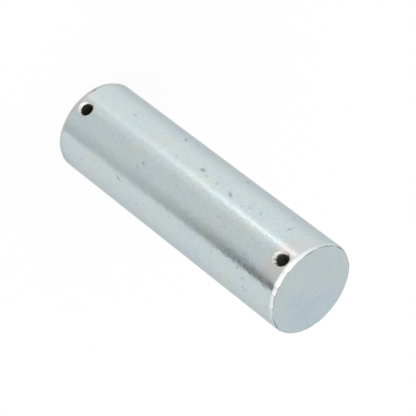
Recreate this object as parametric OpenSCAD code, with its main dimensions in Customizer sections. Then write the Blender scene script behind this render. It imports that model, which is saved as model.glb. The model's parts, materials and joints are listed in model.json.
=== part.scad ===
// Yoke pin: a plain turned bar that carries a rod's eye between the two ears of a yoke.
// It has no head. A split pin through the hole at each end keeps it in place.
// The pin stands on one end: the origin is the middle of the lower end face, +Z runs up
// the pin's axis, and both split-pin holes run along Y. Lengths are in millimetres.

/* [Shank] */
// Diameter of the turned shank
pin_d = 24; // [16:0.5:60]
// Length over both end faces
pin_length = 80; // [50:1:250]
// Length of the lead-in chamfer at each end, along the axis
end_chamfer = 0.6; // [0.2:0.1:4]
// Slope of the lead-in chamfer, in degrees from the axis
chamfer_slope = 25; // [10:1:50]

/* [Split-pin holes] */
// Diameter of the hole drilled across each end
hole_d = 3.2; // [1.5:0.1:8]
// Depth of the 45 degree countersink at each mouth of a hole
countersink = 0.5; // [0.2:0.1:2]
// Turned surface left between a countersink and the end chamfer
mouth_land = 0.9; // [0.1:0.1:10]

/* [Hidden] */

pin_r = pin_d / 2;
hole_r = hole_d / 2;
// Radius of an end face, inside the chamfer
face_r = pin_r - end_chamfer * tan(chamfer_slope);
// Each hole keeps the land between its countersink and the end chamfer
hole_from_end = end_chamfer + mouth_land + countersink + hole_r;
// How far a cutting tool runs past the surface that it cuts
tool_overrun = 1;
// Fineness of the turned and drilled surfaces
shank_sides = 128;
hole_sides = 64;
plating_colour = [0.77, 0.81, 0.83];

// The bar as it leaves the lathe: half of its section, with both lead-in chamfers, turned about Z
module turned_bar() {
    rotate_extrude($fn = shank_sides)
        polygon([
            [0, 0],
            [face_r, 0],
            [pin_r, end_chamfer],
            [pin_r, pin_length - end_chamfer],
            [face_r, pin_length],
            [0, pin_length]
        ]);
}

// What the drill and the countersink take out: a through hole along Y, opened at both mouths.
// The cone is at its full width level with the crown of the shank and runs on past it.
module cross_hole_cut() {
    bore_end = pin_r - countersink;
    cut_end = pin_r + tool_overrun;
    mouth_r = hole_r + countersink + tool_overrun;
    rotate([90, 0, 0])
        rotate_extrude($fn = hole_sides)
            polygon([
                [0, -cut_end],
                [mouth_r, -cut_end],
                [hole_r, -bore_end],
                [hole_r, bore_end],
                [mouth_r, cut_end],
                [0, cut_end]
            ]);
}

// The finished pin: the turned bar with a countersunk hole across each end
module yoke_pin() {
    color(plating_colour)
        difference() {
            turned_bar();
            for (hole_z = [hole_from_end, pin_length - hole_from_end])
                translate([0, 0, hole_z])
                    cross_hole_cut();
        }
}

yoke_pin();
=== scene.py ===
# %% [markdown]
# # A zinc-plated yoke pin
#
# A yoke pin carries a rod's eye between the two ears of a yoke. It is a plain steel bar: turned, bevelled
# at both ends, drilled across near each end for a split pin, and then zinc plated. This lesson dresses its
# solid model for a picture. The solid is loaded first, because it is the frame that everything is measured
# from: all places below are in its axes, in metres, with +Z along the pin.

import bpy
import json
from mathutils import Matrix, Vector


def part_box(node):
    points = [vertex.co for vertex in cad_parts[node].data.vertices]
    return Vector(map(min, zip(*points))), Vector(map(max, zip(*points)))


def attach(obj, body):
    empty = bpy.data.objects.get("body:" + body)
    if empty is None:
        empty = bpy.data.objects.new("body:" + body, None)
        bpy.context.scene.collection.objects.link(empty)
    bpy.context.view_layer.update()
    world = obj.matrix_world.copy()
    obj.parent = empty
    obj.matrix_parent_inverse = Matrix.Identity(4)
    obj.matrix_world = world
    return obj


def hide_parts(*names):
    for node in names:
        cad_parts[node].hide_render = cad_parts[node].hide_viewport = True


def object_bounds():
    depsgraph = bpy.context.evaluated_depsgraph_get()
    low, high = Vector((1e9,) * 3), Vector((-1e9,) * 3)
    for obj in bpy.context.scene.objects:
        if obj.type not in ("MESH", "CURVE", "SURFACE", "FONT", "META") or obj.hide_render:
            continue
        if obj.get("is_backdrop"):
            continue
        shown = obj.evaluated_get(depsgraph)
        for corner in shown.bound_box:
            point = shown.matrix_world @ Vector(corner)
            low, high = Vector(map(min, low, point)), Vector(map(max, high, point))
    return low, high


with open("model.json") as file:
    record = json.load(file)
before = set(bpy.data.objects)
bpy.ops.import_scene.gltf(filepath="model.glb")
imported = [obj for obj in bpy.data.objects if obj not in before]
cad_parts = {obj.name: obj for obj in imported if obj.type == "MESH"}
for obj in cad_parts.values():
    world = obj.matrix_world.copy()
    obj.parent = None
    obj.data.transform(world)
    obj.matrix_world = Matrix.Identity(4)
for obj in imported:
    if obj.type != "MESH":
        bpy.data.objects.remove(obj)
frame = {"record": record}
cad_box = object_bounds()
print("solid loaded, box in metres:", [[round(value, 4) for value in corner] for corner in cad_box])

# %% [markdown]
# ## Sizes
#
# The pin's record lists the places where other parts meet it, with their radii and lengths. All that is drawn
# below takes its sizes from there. They could be typed in again, but then the skin would no longer fit as
# soon as the solid is made longer or thicker.

# %% Read the sizes of the pin
import json
import math

import bpy
import numpy as np
from mathutils import Matrix, Vector

MM = 0.001

mounts = {mount["name"]: mount for mount in frame["record"]["mounts"]}
shank = mounts["shank"]["dims"]
cross_hole = mounts["upper_split_pin_hole"]["dims"]
pin_r = shank["r_mm"] * MM
pin_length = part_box("yoke_pin")[1].z
end_chamfer = (pin_length - shank["length_mm"] * MM) / 2
hole_r = cross_hole["r_mm"] * MM
countersink = pin_r - cross_hole["length_mm"] * MM / 2
hole_heights = [mounts[end + "_split_pin_hole"]["pos_m"][2] for end in ("lower", "upper")]
print(f"pin {2 * pin_r / MM:.1f} x {pin_length / MM:.1f} mm, chamfer {end_chamfer / MM:.2f} mm long")
print(f"holes {2 * hole_r / MM:.1f} mm, countersunk {countersink / MM:.2f} mm, at heights", hole_heights)

# %% [markdown]
# ## The camera
#
# The picture was taken with a long lens, so the pin's two sides stay nearly parallel. The camera looks at
# the middle of the pin, from a little to the right of the holes and from well above. It is turned about its
# own line of sight until the standing pin lies across the frame from the upper left to the lower right.
# A chain of simple rotations says this more clearly than a matrix of numbers would.

# %% Place the camera
FOCAL_LENGTH_MM = 225.1
SENSOR_WIDTH_MM = 36
view_azimuth = math.radians(7.2)
view_elevation = math.radians(36.4)
view_roll = math.radians(127.59)
view_distance = 619.8 * MM
aim_point = Vector((-0.42, -0.05, 42.46)) * MM

camera_data = bpy.data.cameras.new("camera")
camera_data.lens = FOCAL_LENGTH_MM
camera_data.sensor_width = SENSOR_WIDTH_MM
camera = bpy.data.objects.new("camera", camera_data)
camera.matrix_world = (
    Matrix.Translation(aim_point)
    @ Matrix.Rotation(view_azimuth, 4, "Z")
    @ Matrix.Rotation(math.pi / 2 - view_elevation, 4, "X")
    @ Matrix.Rotation(view_roll, 4, "Z")
    @ Matrix.Translation((0, 0, view_distance))
)
bpy.context.collection.objects.link(camera)
bpy.context.scene.camera = camera
bpy.context.scene.view_settings.view_transform = "Standard"
print("camera at", [round(value, 4) for value in camera.matrix_world.translation])

# %% [markdown]
# ## The skin of the pin
#
# A polished cylinder shows every flaw of its mesh as a kink in a reflection, so the skin is woven from
# four-sided faces that follow the form: rows and columns up the shank, rings round each hole mouth, rings
# round each chamfer, and a square net pulled out to a disc on each end. A boolean cut would be quicker to
# write, but it leaves long thin faces round the holes, and those show.
#
# The two helpers below collect numbered points and join neighbouring rows of numbers with faces. Points that
# get a painted highlight, and points that are drawn darker, as a thin line at the end faces' corners and as
# painted shade at one hole mouth, are remembered with a strength, for the finish to read.

# %% Points and rows
COLUMNS = 256
ROWS = 264

points = []
faces = {"plating": [], "bore": []}
highlight_points = {}
dark_line_and_shade_points = {}


def add_points(places):
    """Adds points, an array whose last axis is x, y, z, and returns their numbers in the same layout."""
    places = np.asarray(places, float)
    first = len(points)
    points.extend(places.reshape(-1, 3))
    return np.arange(first, len(points)).reshape(places.shape[:-1])


def weave(rows, finish="plating"):
    """Joins each closed row of point numbers to the next with four-sided faces."""
    for near, far in zip(rows[:-1], rows[1:]):
        faces[finish].extend(zip(near, np.roll(near, -1), np.roll(far, -1), far))


print(f"the shank's net will have {COLUMNS} columns and {ROWS} rows")

# %% [markdown]
# The shank is a net of rows and columns. Angle 0 is the front, where the hole mouths open towards -Y, and
# the angle grows towards +X. Four windows are left open in the net, one for each hole mouth.
#
# The chamfers were cut by hand feed, so their edges wander a little. On the front of the upper end the cut
# also runs further down the shank than elsewhere. The net's last rows follow that edge: each column is
# stretched so that it ends where its chamfer starts.

# %% Edges of the chamfers
SHANK_SETBACK = 0.25 * MM

angles = np.arange(COLUMNS) * 2 * np.pi / COLUMNS
chamfer_draws = np.random.default_rng(11)


def wander(waves):
    """A smooth closed wave round the pin, about -1 to 1, from a few waves of random phase."""
    phases = chamfer_draws.uniform(0, 2 * np.pi, len(waves))
    return sum(np.sin(wave * angles + phase) for wave, phase in zip(waves, phases)) / math.sqrt(len(waves))


def bump_round(middle, half_width):
    """A smooth rise from 0 to 1 and back round the pin, given in degrees."""
    away = (np.degrees(angles) - middle + 180) % 360 - 180
    return np.cos(np.pi / 2 * np.clip(away / half_width, -1, 1)) ** 2


def ring(radius, height):
    """A closed row of points round the pin, at one radius and height or at one for each column."""
    return np.stack(np.broadcast_arrays(radius * np.sin(angles), -radius * np.cos(angles), height), axis=-1)


LOWER_WANDER = 0.10
UPPER_WANDER = 0.05
LOWER_FRONT_CUT = 0.75
UPPER_FRONT_CUT = 1.15
lower_cut = end_chamfer * (1 + LOWER_WANDER * wander([3, 5, 9]) + LOWER_FRONT_CUT * bump_round(0, 70))
upper_cut = end_chamfer * (1 + UPPER_WANDER * wander([3, 5, 9, 17]) + UPPER_FRONT_CUT * bump_round(14, 72))
print(f"chamfer cuts up to {lower_cut.max() / MM:.2f} mm below and {upper_cut.max() / MM:.2f} mm above")

# %% Stretch the net between the chamfers
TAPER = 0.04
levels = np.linspace(0, 1, ROWS + 1)[:, None]
even = np.linspace(end_chamfer, pin_length - end_chamfer, ROWS + 1)[:, None]
start = lower_cut + SHANK_SETBACK
stop = pin_length - upper_cut - SHANK_SETBACK
heights = even + (start - even[0]) * np.clip(1 - levels / TAPER, 0, 1)
heights = heights + (stop - even[-1]) * np.clip(1 - (1 - levels) / TAPER, 0, 1)
shank_net = add_points([ring(pin_r, row) for row in heights])
print(f"shank from {start.min() / MM:.2f} to {stop.max() / MM:.2f} mm")

# %% Weave the shank
WINDOW_HALF_COLUMNS = 20
WINDOW_ROWS = 24

window_first_rows = [0, ROWS - WINDOW_ROWS]
window_middle_columns = {"front": 0, "back": COLUMNS // 2}
open_cells = np.zeros((ROWS, COLUMNS), bool)
for first_row in window_first_rows:
    for middle in window_middle_columns.values():
        across = np.arange(middle - WINDOW_HALF_COLUMNS, middle + WINDOW_HALF_COLUMNS) % COLUMNS
        open_cells[first_row : first_row + WINDOW_ROWS, across] = True

for row, column in np.argwhere(~open_cells):
    beside = (column + 1) % COLUMNS
    corner_pairs = ((row, column), (row, beside), (row + 1, beside), (row + 1, column))
    faces["plating"].append(tuple(shank_net[pair] for pair in corner_pairs))
print(f"shank: {len(faces['plating'])} faces, windows of {open_cells.sum() // 4} cells left open")

# %% [markdown]
# ## The split-pin holes
#
# A countersink is a cone that meets the round shank in a saddle-shaped edge. Seen along the hole, the shank
# and the cone are two heights over the same plane, and the surface is whichever lies deeper. Taking a soft
# minimum of the two rounds the edge between them, as tumbling and plating do on the real pin. Each window
# is filled by rings that shrink from its outline to the edge of the countersink, and then down the cone.
#
# At the front mouths the countersink was held at a lean, so they are wider and ragged on one side, the
# upper one more than the lower one. The drill left a slight burr there too, which narrows the holes across
# the pin. The inner edge of the upper front mouth gets painted shade on its low side.

# %% Shape of a hole mouth
MOUTH_EDGE_SOFTNESS = 0.06 * MM
LAND_RINGS = 22
LAND_EASING = 1.25
CONE_SHARES = [0.08, 0.2, 0.4, 0.6, 0.8, 1]
LEAN_SIDE = math.radians(150)
LEAN_SPREAD = math.radians(62)


def window_outline(first_row, columns):
    """The point numbers round a window, with its columns given from -X to +X."""
    last_row = first_row + WINDOW_ROWS
    bottom = shank_net[first_row, columns]
    right = shank_net[first_row + 1 : last_row, columns[-1]]
    top = shank_net[last_row, columns[::-1]]
    left = shank_net[last_row - 1 : first_row : -1, columns[0]]
    return np.concatenate([bottom, right, top, left])


def lean(across, along, deepest):
    """How much deeper a leaning countersink cut, round its mouth: one ragged side of it is wider."""
    turn = np.arctan2(across, along)
    from_side = (turn - LEAN_SIDE + np.pi) % (2 * np.pi) - np.pi
    ragged = 0.8 + 0.2 * np.sin(7 * turn) + 0.2 * np.sin(12 * turn + 1)
    return deepest * ragged * np.exp(-((from_side / LEAN_SPREAD) ** 2))


def mouth_rings(outline, hole_height, facing, lean_depth, burr):
    """Rings of points from a window's outline to the bore; facing is -1 at the front, +1 at the back."""
    outline_points = np.array([points[number] for number in outline])
    x, z = outline_points[:, 0], outline_points[:, 2] - hole_height
    reach = np.hypot(x, z)
    across, along = x / reach, z / reach
    cone_tip = pin_r - countersink - hole_r - lean(across, along, lean_depth)
    bulge = 1 + across**2
    edge = (np.sqrt(cone_tip**2 + bulge * (pin_r**2 - cone_tip**2)) - cone_tip) / bulge
    shares = (np.arange(1, LAND_RINGS + 1) / LAND_RINGS)[:, None]
    on_land = edge + (reach - edge) * (1 - shares) ** LAND_EASING
    hole_edge = hole_r - burr * across**2
    on_cone = edge + (hole_edge - edge) * np.array(CONE_SHARES)[:, None]
    distance = np.concatenate([on_land, on_cone])
    shank_depth = np.sqrt(pin_r**2 - (distance * across) ** 2)
    cone_depth = cone_tip + distance
    softness = MOUTH_EDGE_SOFTNESS
    depth = -softness * np.logaddexp(-shank_depth / softness, -cone_depth / softness)
    return np.stack([distance * across, facing * depth, hole_height + distance * along], axis=-1)


print(f"a mouth has {LAND_RINGS} rings on the land and {len(CONE_SHARES)} on the cone")

# %% Fill the windows with hole mouths
BORE_DEPTHS = np.array([0.06, 0.3, 1, 2.5, 5, 8.5]) * MM
LEAN_DEPTHS = {"upper front": 0.42 * MM, "lower front": 0.16 * MM}
BURRS = {"upper front": 0.22 * MM, "lower front": 0.1 * MM}
BURR_RINGS = 2
MOUTH_HIGHLIGHT = 0.35
SHADED_MOUTH_ROWS = [(-3, 0.3), (-2, 0.9), (-1, 1)]

for end, first_row, hole_height in zip(("lower", "upper"), window_first_rows, hole_heights):
    last_rings = {}
    for side, facing in (("front", -1), ("back", 1)):
        steps = np.arange(-WINDOW_HALF_COLUMNS, WINDOW_HALF_COLUMNS + 1)
        columns = (window_middle_columns[side] - facing * steps) % COLUMNS
        outline = window_outline(first_row, columns)
        which = f"{end} {side}"
        rings = mouth_rings(outline, hole_height, facing, LEAN_DEPTHS.get(which, 0), BURRS.get(which, 0))
        mouth = add_points(rings)
        weave([outline, *mouth])
        # The cones of the lower countersinks get a painted highlight.
        if end == "lower":
            highlight_points.update((number, MOUTH_HIGHLIGHT) for number in mouth[LAND_RINGS:].ravel())
        inside = np.repeat(rings[-1:], len(BORE_DEPTHS), axis=0)
        inside[:, :, 1] -= facing * BORE_DEPTHS[:, None]
        turn = np.arctan2(rings[-1, :, 0], rings[-1, :, 2] - hole_height)
        inside[BURR_RINGS:, :, 0] = hole_r * np.sin(turn)
        inside[BURR_RINGS:, :, 2] = hole_height + hole_r * np.cos(turn)
        # Painted shade: the upper front mouth's inner edge is darkened on its low side, where the hole is in
        # shade.
        if which == "upper front":
            low_side = np.clip(-np.cos(turn), 0, 1) ** 3
            for row, strength in SHADED_MOUTH_ROWS:
                dark_line_and_shade_points.update(zip(mouth[row], strength * low_side))
        wall = add_points(inside)
        weave([mouth[-1], *wall], "bore")
        last_rings[side] = wall[-1]
    weave([last_rings["front"], last_rings["back"]], "bore")
print(f"hole mouths: {len(faces['plating'])} plated faces, {len(faces['bore'])} bore faces")

# %% [markdown]
# ## The chamfers and end faces
#
# A chamfer lets the pin find its way into a bore. It is a cone, and on the real pin both of its corners are
# softened by tumbling and by the plate. A bevel modifier would round every edge of the mesh alike, so each
# corner is drawn here as a short curve instead, with a length of its own.

# %% Turn the chamfers
CHAMFER_SLOPE = math.radians(25)
CORNER_STEPS = [0.25, 0.5, 0.75, 1]
CHAMFER_SHARES = [0.5, 0.63, 0.76]
FACE_SETBACK = 0.08 * MM
FACE_SUPPORT = 0.16 * MM
full_width = end_chamfer * math.tan(CHAMFER_SLOPE)


def soft_corner(before, corner, after, setback):
    """Rows of (radius, height) along a short curve round a corner, from just before to just after it."""

    def stop_at(towards):
        step = towards - corner
        return corner + step * setback / np.linalg.norm(step, axis=-1, keepdims=True)

    first, last = stop_at(before), stop_at(after)
    return [(1 - t) ** 2 * first + 2 * t * (1 - t) * corner + t**2 * last for t in CORNER_STEPS]


def end_rings(face_height, inward, cut, width):
    """Rings from the end of the shank to the rim of the end face. Inward leads into the pin."""

    def place(radius, height):
        return np.stack(np.broadcast_arrays(radius, height + 0 * angles), axis=-1)

    outer = place(pin_r, face_height + inward * cut)
    inner = place(pin_r - width, face_height)
    profile = soft_corner(place(pin_r, face_height + inward * 2 * cut), outer, inner, SHANK_SETBACK)
    profile += [outer + (inner - outer) * share for share in CHAMFER_SHARES]
    to_face = (outer - inner) / np.linalg.norm(outer - inner, axis=-1, keepdims=True)
    profile += [inner + to_face * FACE_SETBACK]
    profile += soft_corner(outer, inner, place(0, face_height), FACE_SETBACK)
    profile += [profile[-1] - place(FACE_SUPPORT, 0)]
    return [ring(row[:, 0], row[:, 1]) for row in profile]


print(f"chamfer {full_width / MM:.2f} mm wide")

# %% [markdown]
# The end face was faced off flat. A fan of triangles would show a star in the middle of a mirror. A square
# net has as many points round its edge as the pin has columns, so each square ring of it can be pulled out to
# a circle, and there is no point where all the faces meet.

# %% Fill a ring with a net
NET_SIDE = COLUMNS // 4


def disc_net(rim):
    """Fills a ring of points with a square net: each square ring of it becomes a circle inside the rim."""
    side = np.linspace(-1, 1, NET_SIDE + 1)
    u, v = np.meshgrid(side, side, indexing="ij")
    share = np.maximum(abs(u), abs(v))
    with np.errstate(divide="ignore", invalid="ignore"):
        turn = np.where(
            abs(u) >= abs(v),
            np.where(u >= 0, 0, np.pi) + np.pi / 4 * v / u,
            np.where(v >= 0, np.pi / 2, -np.pi / 2) - np.pi / 4 * u / v,
        )
    turn = np.nan_to_num(turn)
    column = np.rint(turn / (2 * np.pi / COLUMNS))
    rim_points = np.array([points[number] for number in rim])
    rim_radius = np.hypot(rim_points[:, 0], rim_points[:, 1])
    closed_angles, closed_radius = np.append(angles, 2 * np.pi), np.append(rim_radius, rim_radius[0])
    radius = share * np.interp(turn % (2 * np.pi), closed_angles, closed_radius)
    height = np.full(share.shape, rim_points[0, 2])
    places = np.stack([radius * np.sin(turn), -radius * np.cos(turn), height], axis=-1)
    on_rim = share > 1 - 0.5 / NET_SIDE
    net = np.empty(share.shape, int)
    net[on_rim] = rim[column[on_rim].astype(int) % COLUMNS]
    net[~on_rim] = add_points(places[~on_rim])
    cells = zip(net[:-1, :-1].ravel(), net[1:, :-1].ravel(), net[1:, 1:].ravel(), net[:-1, 1:].ravel())
    faces["plating"].extend(cells)


print(f"an end face has {NET_SIDE} x {NET_SIDE} cells")

# %% [markdown]
# The tool chattered on the front of the upper end, so the chamfer's edge has a few steps there: each is an
# angle round the pin and a run in degrees. The corner at the face is drawn as a thin darker line, stronger
# on some stretches: middle, half width and strength. The front of the upper chamfer gets a painted highlight.

# %% Wear, dark line and painted highlight of the chamfers
LOWER_UNEVEN = 0.10
UPPER_UNEVEN = 0.14
UPPER_LEAN = 0.17 * MM
CHATTER_STEPS = [(6.7, 10), (27.8, 15), (39.3, 9), (53.7, 12)]
CHATTER_DEPTH = 0.24 * MM
DARK_LINE_LEVEL = 0.3
DARK_LINE_CHANGE = 0.22
LEAST_DARK_LINE = 0.08
DARK_LINE_STRETCHES = [
    (-27, 11, 1),
    (-52, 5, 0.9),
    (-76, 10, 0.7),
    (83, 16, 0.7),
    (7, 5, 0.6),
    (28, 4, 0.6),
    (40, 5, 0.6),
]

lower_width = full_width * (1 + LOWER_UNEVEN * wander([3, 5, 9, 14]))
upper_width = full_width * (1 + UPPER_UNEVEN * wander([5, 9, 14, 23, 37]))
upper_width += UPPER_LEAN * (bump_round(-20, 45) - bump_round(40, 48))
for step, run in CHATTER_STEPS:
    before = (step - np.degrees(angles) + 180) % 360 - 180
    upper_width += CHATTER_DEPTH * np.where(before >= 0, np.clip(1 - before / run, 0, 1), 0)
dark_line_strength = DARK_LINE_LEVEL + DARK_LINE_CHANGE * wander([4, 7, 11, 19])
for middle, half_width, strength in DARK_LINE_STRETCHES:
    dark_line_strength += strength * bump_round(middle, half_width)
dark_line_strength = np.clip(dark_line_strength, LEAST_DARK_LINE, 1)
# Painted highlight: the front of the upper chamfer is drawn nearly white.
front_highlight = np.clip(1.5 * bump_round(18, 62) + 0.4 * bump_round(-42, 35), 0, 1)
print(f"upper chamfer {upper_width.min() / MM:.2f} to {upper_width.max() / MM:.2f} mm wide")

# %% Close the ends
ends = (
    (0, 1, shank_net[0], lower_cut, lower_width),
    (pin_length, -1, shank_net[-1], upper_cut, upper_width),
)
for face_height, inward, shank_row, cut, width in ends:
    rings = add_points(end_rings(face_height, inward, cut, width))
    weave([shank_row, *rings])
    disc_net(rings[-1])
    # The face corner gets the thin darker line, and the upper chamfer's front gets the painted highlight.
    for corner_row in rings[-5:-1]:
        dark_line_and_shade_points.update(zip(corner_row, dark_line_strength))
    if face_height == pin_length:
        for row_share, chamfer_row in zip((0.25, 0.5, 0.75), rings[1:4]):
            highlight_points.update(zip(chamfer_row, row_share * front_highlight))
        for chamfer_row in rings[4:-4]:
            highlight_points.update(zip(chamfer_row, front_highlight))
print(f"ends closed: {len(faces['plating']) + len(faces['bore'])} faces in all")

# %% [markdown]
# ## Nicks from handling
#
# Loose pins knock against each other in the plating barrel and in the box, so the shank has small nicks
# with a raised lip. They are part of the form, so they move the mesh. The list holds the ones that can be
# seen from the camera: height up the pin, angle round it, length, width and depth in millimetres, and the
# lean of the long side away from the pin's axis. A depth below zero is a small lump in the plate. The far
# side gets a like number at random places.

# %% List the nicks
SEEN_NICKS = [
    (15.1, -31.4, 1.0, 0.9, 0.026, 0),
    (29.7, -50.4, 1.7, 1.0, 0.032, 40),
    (29.2, -41.4, 0.8, 0.7, 0.012, 0),
    (36.7, -47.3, 1.0, 0.8, 0.020, 0),
    (41.8, -27.3, 1.7, 1.4, 0.050, 0),
    (44.1, -23.3, 0.9, 0.7, 0.016, 0),
    (47.8, -24.3, 1.2, 0.8, 0.022, 30),
    (52.9, -23.3, 2.0, 0.75, 0.055, 22),
    (50.8, -58.1, 1.3, 1.0, 0.032, 0),
    (55.2, -12.3, 1.0, 0.6, 0.020, 70),
    (59.5, -24.3, 1.1, 0.8, 0.020, 0),
    (62.8, -27.3, 1.3, 0.8, 0.022, 50),
    (28.1, 9.6, 1.0, 0.8, 0.034, 0),
    (27.2, 17.5, 0.9, 0.8, 0.016, 0),
    (23.0, 43.0, 2.0, 0.7, 0.034, 22),
    (30.6, 57.5, 1.0, 0.8, 0.016, 0),
    (71.2, -34.2, 1.9, 0.5, 0.042, -78),
    (75.0, -46.0, 1.0, 0.7, 0.018, -60),
    (69.3, 46.4, 1.0, 0.8, 0.026, 0),
    (70.8, 58.3, 1.0, 0.8, 0.022, 0),
    (78.1, 59.3, 0.8, 0.7, 0.016, 0),
    (0.7, -24.0, 0.6, 2.0, 0.060, 0),
    (33.7, -20.3, 1.2, 0.5, 0.018, 20),
    (31.7, -4.2, 1.2, 0.4, 0.012, 38),
    (28.7, -24.0, 0.7, 0.5, 0.012, 0),
    (37.3, -23.0, 0.8, 0.6, 0.012, 0),
    (47.9, -16.3, 0.7, 0.6, 0.016, 0),
    (57.7, -19.9, 0.8, 0.6, 0.016, 0),
    (34.7, 19.8, 0.7, 0.6, -0.012, 0),
    (52.1, 28.7, 0.7, 0.6, -0.012, 0),
    (55.6, 27.1, 1.2, 0.5, -0.012, 20),
]
FAR_SIDE_NICKS = 22

nick_draws = np.random.default_rng(4)
far_side_nicks = [
    (
        nick_draws.uniform(10, 70),
        nick_draws.uniform(95, 265),
        nick_draws.uniform(0.6, 1.5),
        nick_draws.uniform(0.4, 0.8),
        nick_draws.uniform(0.015, 0.04),
        nick_draws.uniform(-60, 60),
    )
    for _ in range(FAR_SIDE_NICKS)
]
print(f"nicks: {len(SEEN_NICKS)} on the seen side, {len(far_side_nicks)} behind")

# %% Press in the nicks
NICK_LIP = 0.3
DARKEST_DEPTH = 0.045

places = np.array(points)
angle_round = np.arctan2(places[:, 0], -places[:, 1])
outward = np.hypot(places[:, 0], places[:, 1])
on_skin = outward > pin_r - 2 * full_width
press = np.zeros(len(places))
nick_shade = np.zeros(len(places))
for height, angle, length, width, depth, tilt in SEEN_NICKS + far_side_nicks:
    turn = (angle_round - math.radians(angle) + np.pi) % (2 * np.pi) - np.pi
    round_pin = turn * pin_r
    up_pin = places[:, 2] - height * MM
    c, s = math.cos(math.radians(tilt)), math.sin(math.radians(tilt))
    far = ((up_pin * c + round_pin * s) / (length * MM / 2)) ** 2
    far += ((round_pin * c - up_pin * s) / (width * MM / 2)) ** 2
    pit = np.where(on_skin, np.exp(-1.5 * far), 0)
    lip = np.where(on_skin, np.exp(-((np.sqrt(far) - 1.5) ** 2) * 4), 0)
    press += depth * MM * (NICK_LIP * lip - pit)
    # Each nick also gets painted shade, darker the deeper it is.
    nick_shade = np.maximum(nick_shade, pit * min(1, depth / DARKEST_DEPTH))
direction = np.stack([np.sin(angle_round), -np.cos(angle_round), 0 * angle_round], axis=-1)
places += direction * press[:, None]
print(f"deepest nick {-press.min() / MM:.3f} mm, highest lip {press.max() / MM:.3f} mm")

# %% [markdown]
# The end face was knocked too. Its few shallow dents are round: place across the face, radius and depth in
# millimetres.

# %% Dent the end face
FACE_DENTS = [
    (-0.2, -1.0, 0.6, 0.007),
    (-0.9, -0.3, 0.5, -0.005),
    (-6.3, -0.9, 0.55, 0.008),
    (6.6, -7.7, 0.45, 0.012),
    (3.1, 4.4, 0.6, 0.004),
]
FACE_DENT_SHADE = 0.5

on_upper_face = (places[:, 2] > pin_length - 0.01 * MM) & ~on_skin
for x, y, radius, depth in FACE_DENTS:
    far = np.hypot(places[:, 0] - x * MM, places[:, 1] - y * MM) / (radius * MM)
    dent = np.where(on_upper_face, np.exp(-(far**2)), 0)
    places[:, 2] -= depth * MM * dent
    # A dent also gets painted shade, at half the strength of the nicks.
    nick_shade = np.maximum(nick_shade, FACE_DENT_SHADE * dent * depth / DARKEST_DEPTH)
print(f"{len(FACE_DENTS)} dents in {on_upper_face.sum()} points of the upper face")

# %% [markdown]
# ## Make the mesh
#
# Four numbers go with each point for the finish to read: how much painted shade a nick gives it, how near a
# hole mouth or the front of the lower rim it is, how strong a painted highlight it gets, and how dark it is
# drawn, for the thin line at the face corners and the painted shade at the upper front mouth. They could be
# painted by hand, but then they would have to be painted again after each change of the net.

# %% Values for the finish
MOUTH_REACH = 2.9 * MM
MOUTH_FADE = 1.2 * MM
WIDE_REACH = 4.3 * MM
WIDE_FADE = 2.6 * MM
WIDE_STRETCH = 1.8
RIM_TINT_HEIGHT = 1.5 * MM
RIM_TINT_FADE = 0.5 * MM
HIGHLIGHT_PATCH = (77.0, -12, 3.2, 5, 0.42)
FACE_NEARNESS = 0.02 * MM

lower_hole, upper_hole = hole_heights
from_lower = np.hypot(places[:, 0], places[:, 2] - lower_hole)
from_upper = np.hypot(places[:, 0] / WIDE_STRETCH, places[:, 2] - upper_hole)
thin_round_lower = (MOUTH_REACH - from_lower) / MOUTH_FADE
thin_round_upper = (WIDE_REACH - from_upper) / WIDE_FADE
# The front of the lower rim takes the mouths' warm tint too.
front_rim_tint = (RIM_TINT_HEIGHT - places[:, 2]) / RIM_TINT_FADE
front_rim_tint = np.clip(front_rim_tint, 0, 1) * np.clip(np.cos(angle_round), 0, 1) ** 4
mouth_nearness = np.clip(np.max([thin_round_lower, thin_round_upper, front_rim_tint], axis=0), 0, 1)
on_end_face = abs(places[:, 2] - pin_length / 2) > pin_length / 2 - FACE_NEARNESS
mouth_nearness[on_end_face] = 0
# A patch beside the upper hole gets a painted highlight.
height, angle, half_height, half_angle, strength = HIGHLIGHT_PATCH
up_patch = (places[:, 2] / MM - height) / half_height
round_patch = (np.degrees(angle_round) - angle) / half_angle
painted_highlight = np.where(on_skin & ~on_end_face, strength * np.exp(-(up_patch**2) - round_patch**2), 0)
painted_highlight[list(highlight_points)] = list(highlight_points.values())
dark_line_and_shade_values = np.zeros(len(places))
dark_line_and_shade_values[list(dark_line_and_shade_points)] = list(dark_line_and_shade_points.values())
finish_values = {"painted_nick_shade": nick_shade, "mouth": mouth_nearness, "painted_highlight": painted_highlight, "dark_line_and_shade": dark_line_and_shade_values}
print("points with each value:", {name: int((values > 0.1).sum()) for name, values in finish_values.items()})

# %% [markdown]
# The points that lay inside the windows belong to no face, so the used points are numbered afresh. The skin
# then takes the place of the solid, and moves with the one body that the pin has.

# %% Build the piece
import bmesh

all_faces = np.array(faces["plating"] + faces["bore"])
used, renumbered = np.unique(all_faces, return_inverse=True)
mesh = bpy.data.meshes.new("yoke_pin_skin")
mesh.from_pydata(places[used].tolist(), [], renumbered.reshape(all_faces.shape).tolist())
is_bore = np.repeat([0, 1], [len(faces["plating"]), len(faces["bore"])])
mesh.polygons.foreach_set("material_index", is_bore.astype(np.int32))
mesh.polygons.foreach_set("use_smooth", np.ones(len(all_faces), bool))
for name, values in finish_values.items():
    attribute = mesh.attributes.new(name, "FLOAT", "POINT")
    attribute.data.foreach_set("value", values[used].astype(np.float32))
mesh.update()

skin = bmesh.new()
skin.from_mesh(mesh)
bmesh.ops.recalc_face_normals(skin, faces=skin.faces)
open_edges = sum(not edge.is_manifold for edge in skin.edges)
volume = skin.calc_volume()
skin.to_mesh(mesh)
skin.free()

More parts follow.
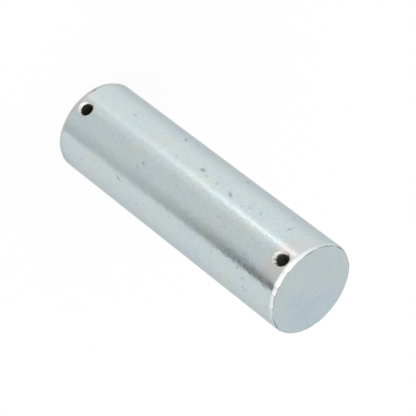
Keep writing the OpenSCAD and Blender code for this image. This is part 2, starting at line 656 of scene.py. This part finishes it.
pin = bpy.data.objects.new("pin_skin", mesh)
bpy.context.collection.objects.link(pin)
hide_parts("yoke_pin")
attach(pin, "root")
print(f"{len(used)} points, {2 * len(all_faces)} triangles, {open_edges} open edges")
print(f"the skin holds {volume / MM**3:.0f} mm3")

# %% [markdown]
# ## Finishes
#
# Colours are written as sRGB hex values, as a colour picker shows them, and turned to the linear values
# that the shader needs. One function adds any node: its properties, and its inputs as values or links.
# Patterns take their scale from a size in millimetres.

# %% Colour and node helpers
def linear(hex_colour):
    """Turns an sRGB hex colour into linear red, green, blue and full alpha."""
    channels = [int(hex_colour[first : first + 2], 16) / 255 for first in (1, 3, 5)]
    return [c / 12.92 if c <= 0.04045 else ((c + 0.055) / 1.055) ** 2.4 for c in channels] + [1]


def add_node(tree, kind, inputs=None, **properties):
    """Adds a node of one kind. An input that is a socket is linked, and any other input is set."""
    node = tree.nodes.new(kind)
    for name, value in properties.items():
        setattr(node, name, value)
    for name, value in (inputs or {}).items():
        if isinstance(value, bpy.types.NodeSocket):
            tree.links.new(value, node.inputs[name])
        else:
            node.inputs[name].default_value = value
    return node


def new_material(name):
    """A material with an empty node tree."""
    material = bpy.data.materials.new(name)
    material.use_nodes = True
    material.node_tree.nodes.clear()
    return material, material.node_tree


def per_mm(size):
    """The texture scale at which one feature of a noise is that many millimetres across."""
    return 1 / (size * MM)


print("mid grey in linear values:", [round(value, 3) for value in linear("#808080")])

# %% [markdown]
# ### Bright zinc plate, clear passivated
#
# Zinc plated over turned steel and dipped in a clear blue passivate: a pale metal with a soft gloss,
# slightly blue, with faint patches of beige, green and lilac where the passivate film is thicker. The film
# drifts across the pin as it hung in the bath. A ramp turns the film's thickness into these colours.

# %% Film on the zinc plate
FILM_CLOUD_MM = 9
LILAC_PATCH_MM = 5
LILAC_STRENGTH = 0.25
zinc, tree = new_material("bright_zinc_plate_on_turned_steel")
place = add_node(tree, "ShaderNodeTexCoord").outputs["Object"]
axes = add_node(tree, "ShaderNodeSeparateXYZ", {0: place})
drift = add_node(
    tree,
    "ShaderNodeMapRange",
    {"Value": axes.outputs["Y"], "From Min": -pin_r, "From Max": pin_r, "To Min": -0.06, "To Max": 0.22},
)
cloud = add_node(tree, "ShaderNodeTexNoise", {"Vector": place, "Scale": per_mm(FILM_CLOUD_MM), "Detail": 4})
film = add_node(tree, "ShaderNodeMath", {0: cloud.outputs["Fac"], 1: drift.outputs[0]}, operation="ADD")
film_colour = add_node(tree, "ShaderNodeValToRGB", {"Fac": film.outputs[0]})
ramp = film_colour.color_ramp
ramp.elements[0].position, ramp.elements[0].color = 0.24, linear("#CACFCA")
ramp.elements[1].position, ramp.elements[1].color = 0.82, linear("#BACAD4")
for position, colour in ((0.42, "#C5D0D0"), (0.6, "#C2CFD3")):
    ramp.elements.new(position).color = linear(colour)
lilac_patch = add_node(
    tree, "ShaderNodeTexNoise", {"Vector": place, "Scale": per_mm(LILAC_PATCH_MM), "Detail": 2}
)
lilac_share = add_node(
    tree,
    "ShaderNodeMapRange",
    {"Value": lilac_patch.outputs["Fac"], "From Min": 0.5, "From Max": 0.72, "To Max": LILAC_STRENGTH},
)
tinted = add_node(
    tree,
    "ShaderNodeMix",
    {"Factor": lilac_share.outputs[0], "A": film_colour.outputs[0], "B": linear("#C9CAD8")},
    data_type="RGBA",
)
print("film colours:", len(ramp.elements), "and a lilac tint")

# %% [markdown]
# Pits are dark points where the plate didn't take, and the zinc's crystals give a faint mottle. Real ones
# are usually a tenth of a millimetre across or less, too fine to show here, so both are drawn coarser than
# real. The pits come in patches, as dirt on the steel does.

# %% Pits and mottle
PIT_SPACING_MM = 2.2
PIT_RADIUS_MM = 0.36
PIT_PATCH_MM = 12
pit_cells = add_node(tree, "ShaderNodeTexVoronoi", {"Vector": place, "Scale": per_mm(PIT_SPACING_MM)})
pit_core = add_node(
    tree,
    "ShaderNodeMapRange",
    {"Value": pit_cells.outputs["Distance"], "From Min": PIT_RADIUS_MM / PIT_SPACING_MM, "From Max": 0.06},
)
pit_patch = add_node(
    tree, "ShaderNodeTexNoise", {"Vector": place, "Scale": per_mm(PIT_PATCH_MM), "Detail": 1}
)
pit_share = add_node(
    tree, "ShaderNodeMapRange", {"Value": pit_patch.outputs["Fac"], "From Min": 0.42, "From Max": 0.62}
)
pit = add_node(
    tree, "ShaderNodeMath", {0: pit_core.outputs[0], 1: pit_share.outputs[0]}, operation="MULTIPLY"
)

MOTTLE_SIZE_MM = 0.9
MOTTLE_STRENGTH = 0.22
mottle = add_node(
    tree, "ShaderNodeTexNoise", {"Vector": place, "Scale": per_mm(MOTTLE_SIZE_MM), "Detail": 2}
)
mottled = add_node(
    tree,
    "ShaderNodeMix",
    {"Factor": MOTTLE_STRENGTH, "A": tinted.outputs["Result"], "B": mottle.outputs["Fac"]},
    data_type="RGBA",
    blend_type="SOFT_LIGHT",
)
print(f"pits {2 * PIT_RADIUS_MM} mm wide, mottle {MOTTLE_SIZE_MM} mm")

# %% [markdown]
# Pits, wear and painted light lie over the film in layers. Round the hole mouths the plate is thin, so it is
# warmer and duller there, and the front of the lower rim takes the same warm tint. Nicks and dents get
# painted shade, a painted highlight makes the lower countersinks, the front of the upper chamfer and a patch
# by the upper hole nearly white, and a thin darker line runs round the face corners, with painted shade at
# the upper front mouth. Each layer is mixed over the ones before it, with a strength and a colour.

# %% Wear and painted light on the zinc plate
mouth = add_node(tree, "ShaderNodeAttribute", attribute_name="mouth")
painted_nick_shade = add_node(tree, "ShaderNodeAttribute", attribute_name="painted_nick_shade")
bright = add_node(tree, "ShaderNodeAttribute", attribute_name="painted_highlight")
dark_line_and_shade = add_node(tree, "ShaderNodeAttribute", attribute_name="dark_line_and_shade")
plated = mottled.outputs["Result"]
# The layers are the mouth tint, the pits, the nicks' painted shade, the painted highlight, and the dark line
# with painted shade.
for share, strength, colour in (
    (mouth.outputs["Fac"], 0.85, "#C8C5C0"),
    (pit.outputs[0], 0.4, "#6F787B"),
    (painted_nick_shade.outputs["Fac"], 0.8, "#757F83"),
    (bright.outputs["Fac"], 0.92, "#F0EEEB"),
    (dark_line_and_shade.outputs["Fac"], 0.9, "#565C5E"),
):
    amount = add_node(tree, "ShaderNodeMath", {0: share, 1: strength}, operation="MULTIPLY")
    mixed = add_node(
        tree,
        "ShaderNodeMix",
        {"Factor": amount.outputs[0], "A": plated, "B": linear(colour)},
        data_type="RGBA",
    )
    plated = mixed.outputs["Result"]
print(f"zinc plate: {len(tree.nodes)} nodes so far")

# %% [markdown]
# The gloss varies in small patches, and falls round the hole mouths. Barrel plating leaves a fine waviness
# that breaks up the edges of the reflections. It is drawn in two sizes of grain, coarser than real so that
# it shows, and the pits are sunk. The edge tint keeps the sides of the round from brightening, as the thin
# passivate film does on the real one.

# %% Gloss and grain of the zinc plate
EDGE_TINT = "#DADCDE"
HAZE_SIZE_MM = 3
MOUTH_DULLNESS = 0.06
# Each grain has a size in millimetres and a rise in metres.
WAVINESS = [(2.2, 4.5e-5), (0.8, 2.4e-5)]
PIT_DEPTH = 1.2e-5
haze = add_node(tree, "ShaderNodeTexNoise", {"Vector": place, "Scale": per_mm(HAZE_SIZE_MM), "Detail": 4})
gloss = add_node(
    tree,
    "ShaderNodeMapRange",
    {"Value": haze.outputs["Fac"], "From Min": 0.3, "From Max": 0.7, "To Min": 0.16, "To Max": 0.23},
)
dull = add_node(
    tree,
    "ShaderNodeMath",
    {0: mouth.outputs["Fac"], 1: MOUTH_DULLNESS, 2: gloss.outputs[0]},
    operation="MULTIPLY_ADD",
)
normal = None
for size_mm, rise in WAVINESS:
    grain = add_node(tree, "ShaderNodeTexNoise", {"Vector": place, "Scale": per_mm(size_mm), "Detail": 1})
    relief = add_node(
        tree, "ShaderNodeBump", {"Height": grain.outputs["Fac"], "Strength": 1, "Distance": rise}
    )
    if normal:
        tree.links.new(normal, relief.inputs["Normal"])
    normal = relief.outputs[0]
sunk = add_node(
    tree,
    "ShaderNodeBump",
    {"Height": pit.outputs[0], "Strength": 1, "Distance": PIT_DEPTH, "Normal": normal},
    invert=True,
)
surface = add_node(
    tree,
    "ShaderNodeBsdfPrincipled",
    {
        "Base Color": plated,
        "Metallic": 1,
        "Roughness": dull.outputs[0],
        "Specular Tint": linear(EDGE_TINT),
        "Normal": sunk.outputs[0],
    },
)
add_node(tree, "ShaderNodeOutputMaterial", {"Surface": surface.outputs[0]})
mesh.materials.append(zinc)
print(f"{zinc.name}: {len(tree.nodes)} nodes, waviness of {[size for size, _ in WAVINESS]} mm")

# %% [markdown]
# ### Drilled bore
#
# Plating current hardly reaches into a small hole, so its wall is nearly bare drilled steel, dulled by oil
# and passivate. It is dark and rough, with rings from the drill that are drawn coarser than real so that
# they show. The wall is drawn lighter towards the upper end.

# %% Bore wall
WAVES_PER_UNIT = 20
DRILL_RING_MM = 0.5
DRILL_RING_DEPTH = 2e-5
SOOT_SIZE_MM = 1.5
bore, tree = new_material("drilled_steel_bore")
place = add_node(tree, "ShaderNodeTexCoord").outputs["Object"]
drill_rings = add_node(
    tree,
    "ShaderNodeTexWave",
    {"Vector": place, "Scale": per_mm(DRILL_RING_MM) / WAVES_PER_UNIT, "Distortion": 1},
    bands_direction="Y",
)
soot = add_node(tree, "ShaderNodeTexNoise", {"Vector": place, "Scale": per_mm(SOOT_SIZE_MM)})
wall_colour = add_node(
    tree,
    "ShaderNodeMix",
    {"Factor": soot.outputs["Fac"], "A": linear("#77776A"), "B": linear("#96968A")},
    data_type="RGBA",
)
up_pin = add_node(tree, "ShaderNodeSeparateXYZ", {0: place}).outputs["Z"]
# The bore wall is drawn lighter towards the upper end.
lighter_up_share = add_node(tree, "ShaderNodeMapRange", {"Value": up_pin, "From Max": pin_length, "To Max": 0.5})
lightened_wall = add_node(
    tree,
    "ShaderNodeMix",
    {"Factor": lighter_up_share.outputs[0], "A": wall_colour.outputs["Result"], "B": linear("#C4C4B6")},
    data_type="RGBA",
)
relief = add_node(
    tree,
    "ShaderNodeBump",
    {"Height": drill_rings.outputs["Fac"], "Strength": 1, "Distance": DRILL_RING_DEPTH},
)
surface = add_node(
    tree,
    "ShaderNodeBsdfPrincipled",
    {
        "Base Color": lightened_wall.outputs["Result"],
        "Metallic": 1,
        "Roughness": 0.55,
        "Normal": relief.outputs[0],
    },
)
add_node(tree, "ShaderNodeOutputMaterial", {"Surface": surface.outputs[0]})
mesh.materials.append(bore)
print("finishes:", [material.name for material in mesh.materials])

# %% [markdown]
# ## The studio
#
# The pin stands on a plain white floor. It looks white to the camera and in the metal, and keeps a little
# diffuse shading for the pin's shadow. Light Path tells the floor which rays it is seen by.

# %% Floor
FLOOR_RADIUS = 3
FLOOR_GLOW = 0.88

floor_mesh = bpy.data.meshes.new("floor")
net = bmesh.new()
bmesh.ops.create_circle(net, cap_ends=True, radius=FLOOR_RADIUS, segments=96)
net.to_mesh(floor_mesh)
net.free()
floor = bpy.data.objects.new("floor", floor_mesh)
bpy.context.collection.objects.link(floor)
floor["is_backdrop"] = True

paper, tree = new_material("white_paper_floor")
light_path = add_node(tree, "ShaderNodeLightPath")
seen = light_path.outputs["Is Camera Ray"]
for ray in ("Is Glossy Ray", "Is Transmission Ray"):
    either = add_node(tree, "ShaderNodeMath", {0: seen, 1: light_path.outputs[ray]}, operation="MAXIMUM")
    seen = either.outputs[0]
share = add_node(tree, "ShaderNodeMath", {0: seen, 1: FLOOR_GLOW}, operation="MULTIPLY")
matt = add_node(tree, "ShaderNodeBsdfDiffuse", {"Color": linear("#F2F2F2")})
white = add_node(tree, "ShaderNodeEmission", {"Color": (1, 1, 1, 1), "Strength": 1})
blend = add_node(
    tree, "ShaderNodeMixShader", {0: share.outputs[0], 1: matt.outputs[0], 2: white.outputs[0]}
)
add_node(tree, "ShaderNodeOutputMaterial", {"Surface": blend.outputs[0]})
floor_mesh.materials.append(paper)
print(f"floor {2 * FLOOR_RADIUS} m across, {FLOOR_GLOW:.0%} of it white of its own")

# %% [markdown]
# A pale dome lights the pin evenly. It is brighter on one side, as if a wide window stood to the left of the
# camera.

# %% Dome
FRONT_LEVEL = 1.2
BACK_LEVEL = 0.9
bright_azimuth = view_azimuth + math.radians(28)
world = bpy.data.worlds.new("pale_dome")
bpy.context.scene.world = world
world.use_nodes = True
tree = world.node_tree
tree.nodes.clear()
sky_place = add_node(tree, "ShaderNodeTexCoord").outputs["Generated"]
towards_bright = add_node(
    tree,
    "ShaderNodeVectorMath",
    {0: sky_place, 1: (math.sin(bright_azimuth), -math.cos(bright_azimuth), 0)},
    operation="DOT_PRODUCT",
)
level = add_node(
    tree,
    "ShaderNodeMapRange",
    {
        "Value": towards_bright.outputs["Value"],
        "From Min": -0.5,
        "From Max": 0.25,
        "To Min": BACK_LEVEL,
        "To Max": FRONT_LEVEL,
    },
)
dome = add_node(tree, "ShaderNodeBackground", {"Color": (1, 1, 1, 1), "Strength": level.outputs[0]})
add_node(tree, "ShaderNodeOutputWorld", {"Surface": dome.outputs[0]})
print(f"dome at {BACK_LEVEL} to {FRONT_LEVEL}")

# %% [markdown]
# A softbox stands on the bright side. It lights the countersinks a little and gives the floor a faint
# shadow. Its power follows from its size and the level that it adds.

# %% Softbox
SOFTBOX_LEVEL = 0.35
SOFTBOX_WIDTH = 1.2
SOFTBOX_HEIGHT = 0.8
softbox_elevation = math.radians(45)
softbox_distance = 0.9

lamp = bpy.data.lights.new("softbox", "AREA")
lamp.shape = "RECTANGLE"
lamp.size = SOFTBOX_WIDTH
lamp.size_y = SOFTBOX_HEIGHT
lamp.energy = math.pi * SOFTBOX_WIDTH * SOFTBOX_HEIGHT * SOFTBOX_LEVEL
softbox = bpy.data.objects.new("softbox", lamp)
softbox.matrix_world = (
    Matrix.Translation((0, 0, pin_length / 2))
    @ Matrix.Rotation(bright_azimuth, 4, "Z")
    @ Matrix.Rotation(math.pi / 2 - softbox_elevation, 4, "X")
    @ Matrix.Translation((0, 0, softbox_distance))
)
softbox.visible_camera = False
bpy.context.collection.objects.link(softbox)
print(f"softbox of {lamp.energy:.2f} W, {softbox_distance} m away")

# %% [markdown]
# A polished cylinder looks like metal only if it has something light and something dark to mirror. A ray
# that meets the shank at an angle from the camera's side leaves at twice that angle. So a band on the shank
# is drawn by a card on the floor whose edges start at the shank at the band's two angles and run off at
# twice those angles. A height on the shank mirrors the floor at a distance, so a card that fades towards the
# pin draws a band that fades towards the pin's foot. The dark cards run on, paler, past what this camera
# mirrors, so that the bands are longer on the pin's other sides too, seen from lower down.

# %% Paper for the cards
CARD_HEIGHT = 0.2 * MM

card_paper, tree = new_material("card_paper")
tone = add_node(tree, "ShaderNodeAttribute", attribute_name="tone")
glow = add_node(tree, "ShaderNodeEmission", {"Color": (1, 1, 1, 1), "Strength": tone.outputs["Fac"]})
add_node(tree, "ShaderNodeOutputMaterial", {"Surface": glow.outputs[0]})


def lay_card(name, x, y, tones):
    """Lays a net of floor points as a card that only the metal sees, with a brightness at each point."""
    numbers = np.arange(x.size).reshape(x.shape)
    corners = (numbers[:-1, :-1], numbers[:-1, 1:], numbers[1:, 1:], numbers[1:, :-1])
    card_faces = np.stack(corners, axis=-1).reshape(-1, 4)
    card_points = np.stack([x, y, np.full(x.shape, CARD_HEIGHT)], axis=-1).reshape(-1, 3)
    card_mesh = bpy.data.meshes.new(name)
    card_mesh.from_pydata(card_points.tolist(), [], card_faces.tolist())
    attribute = card_mesh.attributes.new("tone", "FLOAT", "POINT")
    attribute.data.foreach_set("value", np.broadcast_to(tones, x.shape).ravel().astype(np.float32))
    card_mesh.materials.append(card_paper)
    card = bpy.data.objects.new(name, card_mesh)
    for kind in ("camera", "diffuse", "transmission", "volume_scatter", "shadow"):
        setattr(card, "visible_" + kind, False)
    bpy.context.collection.objects.link(card)
    card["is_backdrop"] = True


print("cards lie", CARD_HEIGHT / MM, "mm above the floor")

# %% Cards for bands
CARD_STEPS = 48
CARD_ACROSS = 48
CARD_FADE = 1.7
mirrored_reach = pin_length / math.tan(view_elevation)
card_reach = CARD_FADE * mirrored_reach


def smooth_step(low, high, value):
    """Rises smoothly from 0 at low to 1 at high."""
    t = np.clip((value - low) / (high - low), 0, 1)
    return t * t * (3 - 2 * t)


def band_card(name, facing, band_angles, tone_of, foot_shift=0, reach=card_reach, far_share=0):
    """A card for a band of the shank. tone_of takes a share across and a share of the pin's height."""
    first_angle, last_angle = band_angles
    share = np.linspace(0, 1, CARD_ACROSS + 1)[None, :]
    near = mirrored_reach * np.linspace(0, 1, CARD_STEPS + 1)
    far = np.geomspace(mirrored_reach, reach, CARD_STEPS + 1)[1:]
    distance = np.concatenate([near, far])[:, None]
    height_share = np.clip(distance / mirrored_reach, 0, 1)
    band = np.radians(first_angle + (last_angle - first_angle) * share + foot_shift * (1 - height_share))
    begin = facing + band
    away = facing + 2 * band
    x = pin_r * np.sin(begin) + distance * np.sin(away)
    y = -pin_r * np.cos(begin) - distance * np.cos(away)
    fade = 1 - (1 - far_share) * smooth_step(mirrored_reach, card_reach, distance)
    fade = fade * (1 - smooth_step(0.6 * reach, reach, distance))
    lay_card(name, x, y, 1 + fade * (tone_of(share, height_share) - 1))


print(f"this camera mirrors the floor up to {mirrored_reach / MM:.0f} mm from the pin")

# %% [markdown]
# The dark flag has one sharp edge and pales towards the other. The light strip is a narrow bright line with
# a faint glow to one side. The ring is painted shade for the dim gap under the pin's lower edge.

# %% Tones of the cards
FLAG_LEVEL = 0.12
FLAG_PALE = 0.14
STRIP_LEVEL = 2.05
STRIP_PLACE = 0.905
STRIP_WIDTH = 0.037
STRIP_GLOW = 0.09


def flag_tone(share, height_share):
    """A dark flag with one sharp edge, softer at the pin's foot, then a pale grey that ends softly."""
    soft_end = 0.5 - 0.2 * smooth_step(0.92, 0.98, height_share)
    dark = (1 - smooth_step(0.1, soft_end, share)) * (0.2 + 0.8 * height_share**3)
    dark = dark * smooth_step(0, 0.002 + 0.09 * (1 - height_share), share)
    pale = FLAG_PALE * (1 - smooth_step(0.9 - 0.12 * height_share, 1, share))
    return 1 - (1 - FLAG_LEVEL) * dark - pale * (1 - dark)


def strip_tone(share, height_share):
    """A bright line near the last edge, wider at the pin's foot, with a faint glow before it."""
    width = STRIP_WIDTH + 0.05 * (1 - height_share)
    line = np.exp(-(((share - STRIP_PLACE) / width) ** 2)) * (0.06 + 0.94 * height_share**2)
    glow_share = STRIP_GLOW * smooth_step(0, 0.4, share) * (1 - smooth_step(0.93, 1, share))
    return 1 + (STRIP_LEVEL - 1) * line + glow_share


print(f"tones from {FLAG_LEVEL} for the flag to {STRIP_LEVEL} for the strip")

# %% Lay the cards
FLAG_REACH = 0.22
LONG_REACH = 0.6
FAR_SHARE = 0.6
behind = view_azimuth + math.pi
band_card("dark_flag", view_azimuth, (29, -15), flag_tone, 2.2, FLAG_REACH, FAR_SHARE)
band_card("light_strip", view_azimuth, (-62, -15), strip_tone, -3)
band_card("dark_flag_behind", behind, (9, -9), flag_tone, 0, LONG_REACH, FAR_SHARE)

# Painted shade: a dim ring card round the pin's foot, which only the metal sees.
RING_TONE = 0.9
RING_WIDTH = 0.9 * MM
ring_turn = np.linspace(0, 2 * np.pi, 129)[None, :]
ring_radius = pin_r + RING_WIDTH * np.array([-0.3, 0, 0.5, 1])[:, None]
ring_tones = np.array([RING_TONE, RING_TONE, RING_TONE, 1])[:, None]
lay_card("painted_shade_ring", ring_radius * np.sin(ring_turn), ring_radius * np.cos(ring_turn), ring_tones)
print(f"bands reach {FLAG_REACH} m in front and {LONG_REACH} m behind")

# %% [markdown]
# The chamfer leans only a little from the shank, so it mirrors the floor further out, or the sky just above
# the horizon. A slightly brighter table top out there, beyond the other cards, lights the front of the
# chamfer.

# %% Table top
TABLE_LEVEL = 1.25


def far_card(name, first_turn, last_turn, first_distance, last_distance, level):
    """A card far out on the floor between two turns, in degrees from the camera's side, with soft edges."""
    share = np.linspace(0, 1, CARD_ACROSS + 1)[None, :]
    turn = view_azimuth + np.radians(first_turn + (last_turn - first_turn) * share)
    distance = np.geomspace(first_distance, last_distance, CARD_STEPS + 1)[:, None]
    fade = smooth_step(first_distance, 1.5 * first_distance, distance)
    fade = fade * (1 - smooth_step(0.65 * last_distance, last_distance, distance))
    across = smooth_step(0, 0.4, share) * (1 - smooth_step(0.6, 1, share))
    lay_card(name, distance * np.sin(turn), -distance * np.cos(turn), 1 + (level - 1) * fade * across)


far_card("bright_table_top", -122, 94, 1.02 * FLAG_REACH, FLOOR_RADIUS, TABLE_LEVEL)

# %% [markdown]
# ## Measure and finish
#
# The dressed pin should fill the same box as the solid. Both boxes are printed, the solid's from the
# start of the lesson and the dressed pin's as it is now, so that they can be compared.

# %% Print the two boxes
visual_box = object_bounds()
boxes = {name: [list(corner) for corner in box] for name, box in (("cad", cad_box), ("visual", visual_box))}
for name, box in boxes.items():
    print(name, "box in millimetres:", [[round(value / MM, 2) for value in corner] for corner in box])
